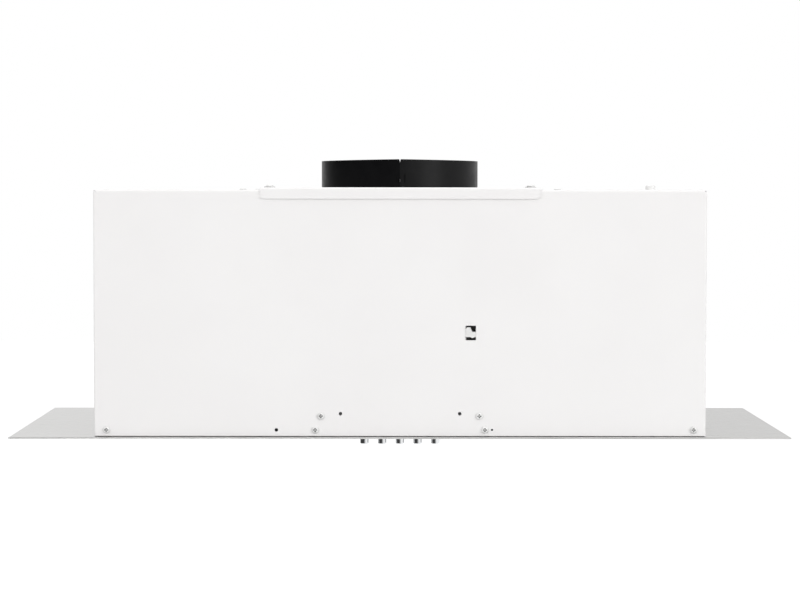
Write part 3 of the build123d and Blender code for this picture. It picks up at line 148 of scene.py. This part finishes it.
def remap(material, value, low, high, start=NOISE_LOW, end=NOISE_HIGH, **attributes):
    """The value's span from start to end spread between low and high."""
    ends = {"Value": value, "From Min": start, "From Max": end, "To Min": low, "To Max": high}
    return wire(material, "ShaderNodeMapRange", ends, **attributes).outputs["Result"]


def between(material, share, first, second):
    """A colour part of the way from the first to the second, each a constant or an output."""
    inputs = {0: share, 6: first, 7: second}
    return wire(material, "ShaderNodeMix", inputs, data_type="RGBA").outputs[2]


def new_material(name, colour, roughness, **inputs):
    """A material with its colour, roughness and any other inputs of the main shader set."""
    material = bpy.data.materials.new(name)
    material.use_nodes = True
    shader = material.node_tree.nodes["Principled BSDF"]
    put(material, shader.inputs["Base Color"], colour)
    put(material, shader.inputs["Roughness"], roughness)
    for key, value in inputs.items():
        put(material, shader.inputs[key.replace("_", " ")], value)
    return material, shader.inputs


def grain(material, cell, stretch=(1, 1, 1), detail=2.0):
    """Noise with cells of about that size, drawn out along the axes whose stretch is small."""
    coordinates = wire(material, "ShaderNodeTexCoord").outputs["Object"]
    placed = wire(material, "ShaderNodeMapping", {"Vector": coordinates, "Scale": stretch})
    noise = {"Vector": placed.outputs["Vector"], "Scale": 1 / cell, "Detail": detail}
    return wire(material, "ShaderNodeTexNoise", noise).outputs["Fac"]


def relief(material, height, depth, strength):
    """A bumped normal from a height between 0 and 1, for a relief of that depth."""
    ends = {"Height": height, "Distance": depth, "Strength": strength}
    return wire(material, "ShaderNodeBump", ends).outputs["Normal"]


def shade_crevices(material, colour, reach, start, end):
    """The colour, darkened to near black as painted shade where surfaces closer than that reach
    leave little of it open.
    """
    occlusion = wire(material, "ShaderNodeAmbientOcclusion", {"Distance": reach},
                     samples=CREVICE_SAMPLES)
    unshaded = remap(material, occlusion.outputs["AO"], 0.0, 1.0, start, end)
    # Painted shade: the less open the surroundings, the nearer the colour goes to black
    return between(material, unshaded, CREVICE_SHADE, colour)


def within(material, centre, half):
    """1 inside that box round the centre, 0 outside it."""
    place = wire(material, "ShaderNodeTexCoord").outputs["Object"]
    for step, other in (("SUBTRACT", {1: centre}), ("DIVIDE", {1: half}), ("ABSOLUTE", {})):
        node = wire(material, "ShaderNodeVectorMath", {0: place} | other, operation=step)
        place = node.outputs["Vector"]
    x, y, z = wire(material, "ShaderNodeSeparateXYZ", {"Vector": place}).outputs
    far = calc(material, "MAXIMUM", calc(material, "MAXIMUM", x, y), z)
    return calc(material, "LESS_THAN", far, 1.0)


def white_enamel():
    """Sheet powder-coated outside, with fine orange peel and faint clouding, and greyed inside as
    painted shade.
    """
    material, shader = new_material("white_enamel", (0.86, 0.85, 0.847), 0.36)
    cloud = remap(material, grain(material, 0.09), 0.0, 1.0)
    coat = between(material, cloud, (0.865, 0.853, 0.85), (0.88, 0.87, 0.866))
    # Painted shade: the faces inside the casing's core take a dark grey
    inside = within(material, CORE_CENTRE, CORE_HALF)
    put(material, shader["Base Color"], between(material, inside, coat, INSIDE_SHADE))
    put(material, shader["Roughness"], remap(material, grain(material, 0.02), 0.33, 0.40))
    peel = grain(material, 0.0016, detail=1.0)
    put(material, shader["Normal"], relief(material, peel, 0.00004, 0.5))
    return material


def brushed_stainless():
    """Stainless sheet ground along its length."""
    material, shader = new_material("brushed_stainless", (0.6, 0.6, 0.59), 0.3, Metallic=1.0,
                                    Specular_Tint=(0.9, 0.9, 0.9))
    lines = grain(material, 0.0006, (0.012, 1, 1), 3.0)
    tone = remap(material, lines, 0, 1)
    colour = between(material, tone, (0.66, 0.655, 0.645), (0.76, 0.755, 0.745))
    # Painted shade in corners and gaps within 4 mm, such as the gap under the casing
    put(material, shader["Base Color"], shade_crevices(material, colour, 0.004, 0.2, 0.42))
    put(material, shader["Roughness"], remap(material, lines, 0.24, 0.40))
    put(material, shader["Normal"], relief(material, lines, 0.00003, 0.35))
    return material


def galvanised():
    """Hot-dip zinc with its spangle."""
    material, shader = new_material("galvanised", (0.6, 0.62, 0.63), 0.42, Metallic=1.0)
    coordinates = wire(material, "ShaderNodeTexCoord").outputs["Object"]
    cells = {"Vector": coordinates, "Scale": 1 / 0.012, "Randomness": 1.0}
    spangle = wire(material, "ShaderNodeTexVoronoi", cells).outputs["Color"]
    tone = wire(material, "ShaderNodeRGBToBW", {"Color": spangle}).outputs["Val"]
    share = remap(material, tone, 0, 1, 0.2, 0.8)
    colour = between(material, share, (0.50, 0.52, 0.53), (0.66, 0.68, 0.69))
    # Painted shade in corners and behind holes within 3 mm
    put(material, shader["Base Color"], shade_crevices(material, colour, 0.003, 0.4, 0.8))
    put(material, shader["Roughness"], remap(material, tone, 0.34, 0.52, 0.2, 0.8))
    return material


def zinc_plate():
    """Bright zinc plating, with painted shade in the drive recess."""
    material, shader = new_material("zinc", (0.86, 0.86, 0.85), 0.36, Metallic=0.15)
    patches = remap(material, grain(material, 0.01), 0, 1)
    colour = between(material, patches, (0.80, 0.80, 0.79), (0.88, 0.88, 0.87))
    # Painted shade in the drive recess and close under the heads
    put(material, shader["Base Color"], shade_crevices(material, colour, 0.0012, 0.45, 0.8))
    put(material, shader["Roughness"], remap(material, patches, 0.32, 0.4, 0, 1))
    put(material, shader["Normal"], relief(material, grain(material, 0.0008), 0.00002, 0.5))
    return material


def plain(name, colour, roughness, cell, depth, **inputs):
    """A moulded or drawn surface: slight tone and gloss variation over a fine relief."""
    material, shader = new_material(name, colour, roughness, **inputs)
    dark = tuple(0.9 * c for c in colour)
    patches = grain(material, 12 * cell)
    tone = remap(material, patches, 0, 1)
    put(material, shader["Base Color"], between(material, tone, dark, colour))
    gloss = remap(material, patches, 0.88 * roughness, 1.1 * roughness)
    put(material, shader["Roughness"], gloss)
    put(material, shader["Normal"], relief(material, grain(material, cell), depth, 0.5))
    return material


FINISHES = {
    "white_steel": white_enamel(),
    "stainless": brushed_stainless(),
    "galvanised": galvanised(),
    # Painted shade: the frame behind the gap between casing and tray is black, so the gap reads
    # dark
    "black_steel": plain("black_frame_gap_shade", (0.02, 0.02, 0.021), 0.5, 0.0008, 0.00003),
    "zinc_screws": zinc_plate(),
    "black_plastic": plain("black_moulding", (0.004, 0.004, 0.0045), 0.36, 0.0007, 0.00003,
                           Specular_IOR_Level=0.09),
    "grey_plastic": plain("grey_moulding", (0.10, 0.10, 0.105), 0.5, 0.0009, 0.00003),
    "white_plastic": plain("white_moulding", (0.86, 0.86, 0.85), 0.22, 0.002, 0.00001),
    "chromed_plastic": plain("chrome", (0.80, 0.81, 0.82), 0.07, 0.004, 0.000004, Metallic=1.0),
    "frosted_glass": plain("frosted_glass", (0.93, 0.94, 0.93), 0.55, 0.0006, 0.00002,
                           Transmission_Weight=0.6),
    "aluminium": plain("aluminium", (0.75, 0.76, 0.77), 0.34, 0.0007, 0.00002, Metallic=1.0),
    "knitted_mesh": plain("knitted_mesh", (0.50, 0.505, 0.51), 0.34, 0.0006, 0.00001,
                          Metallic=1.0),
    "spring_steel": plain("spring_steel", (0.50, 0.50, 0.51), 0.28, 0.0008, 0.00001,
                          Metallic=1.0),
    "motor_iron": plain("motor_iron", (0.30, 0.31, 0.32), 0.5, 0.001, 0.00003, Metallic=0.9),
    "foam_rubber": plain("foam_rubber", (0.03, 0.03, 0.03), 0.85, 0.0006, 0.00008),
}
# The collar's right half takes a lighter copy of the black moulding, as painted light from the
# right
LIT_COLLAR_HALF = plain("black_moulding_lit_half", (0.009, 0.009, 0.0094), 0.36, 0.0007, 0.00003,
                    Specular_IOR_Level=0.10)


def finish_nodes():
    """Each node of the frame takes the material of its slot, but for the collar's right half,
    which takes a lighter copy as painted light.
    """
    for part in frame["record"]["subparts"]:
        node = frame["nodes"][part["node"]]
        node.data.materials.clear()
        # The right half takes the lighter copy, painted light from the right
        lit_half = part["node"] == "collar_half_right"
        node.data.materials.append(LIT_COLLAR_HALF if lit_half else FINISHES[part["material_slot"]])


def add(name, data):
    """A new object of the scene with that data."""
    obj = bpy.data.objects.new(name, data)
    bpy.context.scene.collection.objects.link(obj)
    return obj


def mesh_sheet(low, high, height, cell, seed):
    """Strands of one sheet, each a zigzag between two rows of bonds."""
    chance = random.Random(seed)
    columns, rows = (2 * round(length / size) for length, size in zip(high.xy - low.xy, cell))
    bonds = {}
    for u, v in itertools.product(range(columns + 1), range(rows + 1)):
        x = low.x + (high.x - low.x) * u / columns
        y = low.y + (high.y - low.y) * v / rows
        turns = (x + MESH_CRIMP_SLANT * y) / MESH_CRIMP_PITCH
        crimp = MESH_CRIMP * math.sin(math.tau * turns + seed)
        slack = [chance.uniform(-MESH_LOOSE, MESH_LOOSE) for axis in range(3)]
        bonds[u, v] = Vector((x, y, height + crimp)) + Vector(slack)
    return [[bonds[u, row + (u + row + 1) % 2] for u in range(columns + 1)]
            for row in range(rows)]


def clear_runs(strand, middle, front):
    """The strand's runs of two or more points outside the latch's pocket."""
    def in_pocket(point):
        return abs(point.x - middle) < POCKET_W / 2 and point.y < front + POCKET_D

    for blocked, run in itertools.groupby(strand, in_pocket):
        points = list(run)
        if not blocked and len(points) > 1:
            yield points


def filter_mesh(side):
    """Sheets of expanded aluminium above the net of one filter, round the pocket of its latch."""
    low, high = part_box(f"filter_pad_{side}")
    curve = bpy.data.curves.new(f"filter_mesh_{side}", "CURVE")
    curve.dimensions = "3D"
    curve.bevel_depth = MESH_STRAND / 2
    curve.bevel_resolution = 0
    edge = Vector((MESH_STRAND, MESH_STRAND, 0))
    for sheet in range(MESH_SHEETS):
        height = low.z + (high.z - low.z) * (sheet + 0.5) / MESH_SHEETS
        cell = MESH_CELL if sheet % 2 == 0 else MESH_CELL[::-1]
        for strand in mesh_sheet(low + edge, high - edge, height, cell, sheet):
            for points in clear_runs(strand, (low.x + high.x) / 2, low.y):
                spline = curve.splines.new("POLY")
                spline.points.add(len(points) - 1)
                for point, place in zip(spline.points, points):
                    point.co = (*place, 1.0)
    piece = add(curve.name, curve)
    piece.data.materials.append(FINISHES["knitted_mesh"])
    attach(piece, f"filter_{side}")
    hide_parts(f"filter_pad_{side}")


def leaf_spring(side):
    """The bowed spring behind one latch, copied onto the filter in place of its node."""
    node = frame["nodes"][f"latch_spring_{side}"]
    piece = add(f"leaf_spring_{side}", node.data.copy())
    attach(piece, f"filter_{side}")
    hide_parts(node.name)
    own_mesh(piece)


def camera():
    """The camera of the photograph."""
    data = bpy.data.cameras.new("camera")
    data.sensor_width = SENSOR_W
    data.lens = FOCAL_PX * SENSOR_W / IMAGE_W
    data.clip_start, data.clip_end = CLIP_NEAR, CLIP_FAR
    obj = add("camera", data)
    turn = Matrix.Rotation(CAMERA_YAW, 4, "Z")
    tilt = Matrix.Rotation(math.radians(90) - CAMERA_DOWN, 4, "X")
    roll = Matrix.Rotation(CAMERA_ROLL, 4, "Z")
    obj.matrix_world = Matrix.Translation(CAMERA_AT) @ turn @ tilt @ roll
    bpy.context.scene.camera = obj


def softbox(name, place, aim, width, height, power, in_polish=True):
    """A rectangular lamp that faces a point, and shows in polished surfaces or not."""
    data = bpy.data.lights.new(name, "AREA")
    data.shape = "RECTANGLE"
    data.size, data.size_y = width, height
    data.energy = power
    obj = add(name, data)
    obj.location = place
    obj.rotation_euler = (Vector(aim) - Vector(place)).to_track_quat("-Z", "Y").to_euler()
    obj.visible_glossy = in_polish
    return obj


def hem_lamp():
    """A weak lamp that only shows in the tray's steel, along the left half of the hem."""
    lamp = softbox("hem_left", HEM_LAMP_AT, HEM_LAMP_AIM, HEM_LAMP_W, HEM_LAMP_H, HEM_LAMP_POWER)
    lamp.visible_diffuse = False
    lamp.visible_camera = False
    lit = bpy.data.collections.new("hem_lit")
    lit.objects.link(frame["nodes"]["underside_tray"])
    lamp.light_linking.receiver_collection = lit


def rays(material, *kinds):
    """1 for the named kinds of ray, 0 for the others."""
    path = wire(material, "ShaderNodeLightPath").outputs
    shown = path[kinds[0]]
    for kind in kinds[1:]:
        shown = calc(material, "MAXIMUM", shown, path[kind])
    return shown


def grade(material, way, start, end):
    """From the dark side of the room to the white backdrop, along the direction or place given."""
    along = wire(material, "ShaderNodeVectorMath", {0: way, 1: BRIGHT_WAY},
                 operation="DOT_PRODUCT")
    return remap(material, along.outputs["Value"], DARK_SIDE, 1.0, start, end,
                 interpolation_type="SMOOTHSTEP")


def surround():
    """White behind the object, evenly lit for matt surfaces, and graded to white for polish."""
    world = bpy.data.worlds.new("studio")
    bpy.context.scene.world = world
    world.use_nodes = True
    background = world.node_tree.nodes["Background"]
    way = wire(world, "ShaderNodeTexCoord").outputs["Generated"]
    across = wire(world, "ShaderNodeSeparateXYZ", {"Vector": way}).outputs["X"]
    dimmed = remap(world, across, 1.0, DIM_SIDE, -DIM_TURN, DIM_TURN)
    graded = calc(world, "MULTIPLY", grade(world, way, *ROOM_GRADE), dimmed)
    polish = rays(world, "Is Glossy Ray", "Is Transmission Ray")
    strength = remap(world, polish, WORLD_LIGHT, graded, 0, 1)
    put(world, background.inputs["Color"], (1, 1, 1))
    put(world, background.inputs["Strength"],
        remap(world, rays(world, "Is Camera Ray"), strength, 1.0, 0, 1))


def overlay(material, share, first, second):
    """A surface part of the way from the first shader to the second."""
    return wire(material, "ShaderNodeMixShader", {0: share, 1: first, 2: second}).outputs[0]


def floor_material():
    """White with the object's shadow, dark to polish in front, and clear from below."""
    material, shader = new_material("floor", (0.6, 0.6, 0.6), 0.9, Specular_IOR_Level=0.1)
    shown = rays(material, "Is Camera Ray", "Is Glossy Ray", "Is Transmission Ray")
    put(material, shader["Emission Color"], (1, 1, 1))
    put(material, shader["Emission Strength"], remap(material, shown, 0.0, FLOOR_GLOW, 0, 1))
    geometry = wire(material, "ShaderNodeNewGeometry").outputs
    graded = grade(material, geometry["Position"], *FLOOR_GRADE)
    polish = rays(material, "Is Glossy Ray", "Is Transmission Ray")
    dark = wire(material, "ShaderNodeEmission", {"Strength": 0.0}).outputs[0]
    clear = wire(material, "ShaderNodeBsdfTransparent").outputs[0]
    lit = material.node_tree.nodes["Principled BSDF"].outputs[0]
    dimmed = overlay(material, graded, dark, lit)
    shaded = overlay(material, polish, lit, dimmed)
    surface = overlay(material, geometry["Backfacing"], shaded, clear)
    put(material, material.node_tree.nodes["Material Output"].inputs["Surface"], surface)
    return material


def studio():
    """Surround, softboxes, the hem's lamp and the floor."""
    surround()
    for name, (place, width, height, power, in_polish) in SOFTBOXES.items():
        softbox(name, place, CASING_MIDDLE, width, height, power, in_polish)
    hem_lamp()
    bpy.ops.mesh.primitive_plane_add(size=FLOOR_SIZE, location=(0, 0, FLOOR_Z))
    floor = bpy.context.object
    floor.name = "floor"
    floor.data.materials.append(floor_material())


bpy.context.scene.view_settings.view_transform = "Standard"
camera()
studio()
finish_nodes()
for side in ("left", "right"):
    filter_mesh(side)
    leaf_spring(side)
